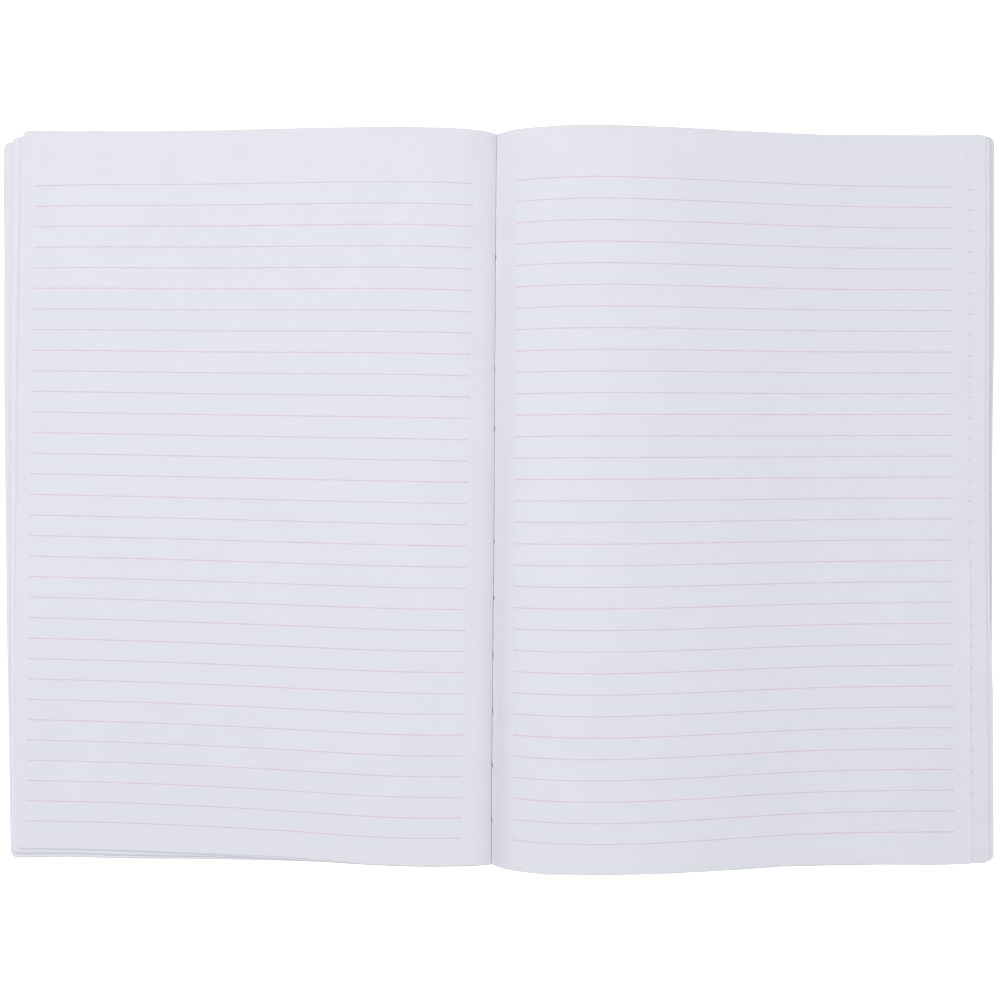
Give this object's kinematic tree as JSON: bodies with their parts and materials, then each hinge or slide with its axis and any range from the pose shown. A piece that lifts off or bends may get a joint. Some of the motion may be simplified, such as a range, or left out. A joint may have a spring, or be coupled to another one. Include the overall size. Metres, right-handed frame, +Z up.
{
  "type": "open composition notebook",
  "caption": "Softcover ruled notebook lying open, leaves arched up on both sides of the gutter, rounded corners, card cover panels hinged at the spine.",
  "frame": {"origin": "on the table under the middle of the spine", "axes": "+X to the right-hand page, +Y to the head of the pages, +Z up out of the open pages"},
  "size_m": [0.2896, 0.2096, 0.019],
  "materials": {
    "paper": "uncoated writing paper",
    "card": "uncoated card",
    "glue": "hot-melt glue"
  },
  "bodies": {
    "pages": {"page_block": "paper", "spine_glue": "glue", "cover_spine": "card"},
    "front_cover": {"front_cover": "card"},
    "back_cover": {"back_cover": "card"}
  },
  "joints": [
    {"name": "front_cover_hinge", "type": "hinge", "parent": "pages", "child": "front_cover", "pos_m": [-0.0051, 0, 0], "axis": [0, -1, 0], "range_deg": [0, 90]},
    {"name": "back_cover_hinge", "type": "hinge", "parent": "pages", "child": "back_cover", "pos_m": [0.0051, 0, 0], "axis": [0, 1, 0], "range_deg": [0, 90]}
  ]
}
